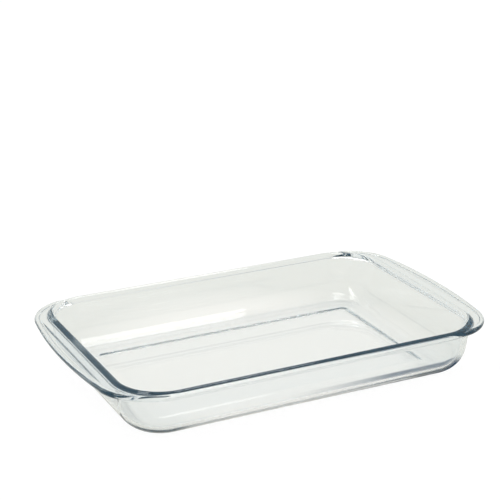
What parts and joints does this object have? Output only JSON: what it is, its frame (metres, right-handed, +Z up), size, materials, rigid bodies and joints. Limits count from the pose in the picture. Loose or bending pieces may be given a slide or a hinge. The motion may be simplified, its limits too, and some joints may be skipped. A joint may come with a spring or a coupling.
{
  "type": "glass baking dish",
  "caption": "Oblong clear glass baking dish with rounded corners, a beaded rim, sloping walls and a flat wing handle at each end.",
  "frame": {"origin": "middle of the base, at the height of the table that the dish stands on", "axes": "+X along the dish from handle to handle, +Y across it, +Z upwards out of the open top"},
  "size_m": [0.4, 0.244, 0.0495],
  "materials": {
    "glass": "clear polished"
  },
  "bodies": {
    "root": {"baking_dish": "glass"}
  },
  "joints": []
}
